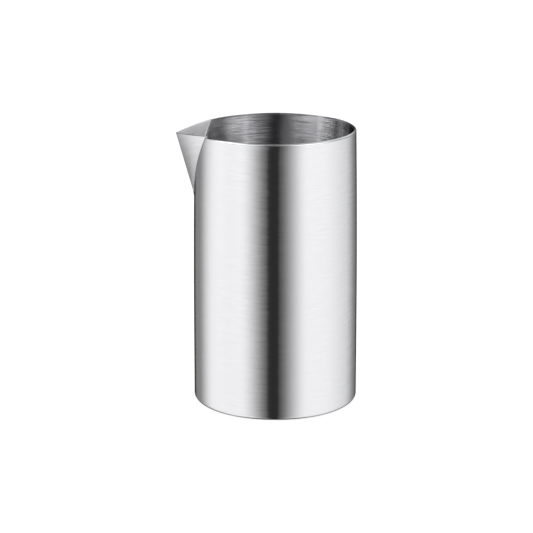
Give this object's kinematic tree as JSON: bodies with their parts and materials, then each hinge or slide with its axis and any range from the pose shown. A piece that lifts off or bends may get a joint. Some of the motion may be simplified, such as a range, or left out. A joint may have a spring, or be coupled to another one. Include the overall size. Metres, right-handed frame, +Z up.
{
  "type": "double-walled mixing vessel",
  "caption": "Straight double-walled brushed steel mixing vessel with a rounded lip, a folded V pouring spout and a flat closed foot, for stirring and pouring cold drinks.",
  "frame": {"origin": "on the body's axis, at the plane that the foot stands on", "axes": "+Z up along the body's axis, -X along the spout, +Y across the spout"},
  "size_m": [0.0946, 0.086, 0.1451],
  "materials": {
    "satin_steel": "fine satin brushing round the body",
    "brushed_liner_steel": "coarser brushing round the inside",
    "spout_steel": "satin brushing",
    "base_steel": "turned brushing",
    "polished_edge_steel": "ground and polished"
  },
  "bodies": {
    "root": {"outer_shell": "satin_steel", "inner_cup": "brushed_liner_steel", "base_plate": "base_steel", "spout": "spout_steel", "lip_weld": "polished_edge_steel", "notch_weld_front": "polished_edge_steel", "notch_weld_back": "polished_edge_steel", "base_weld": "polished_edge_steel"}
  },
  "joints": []
}
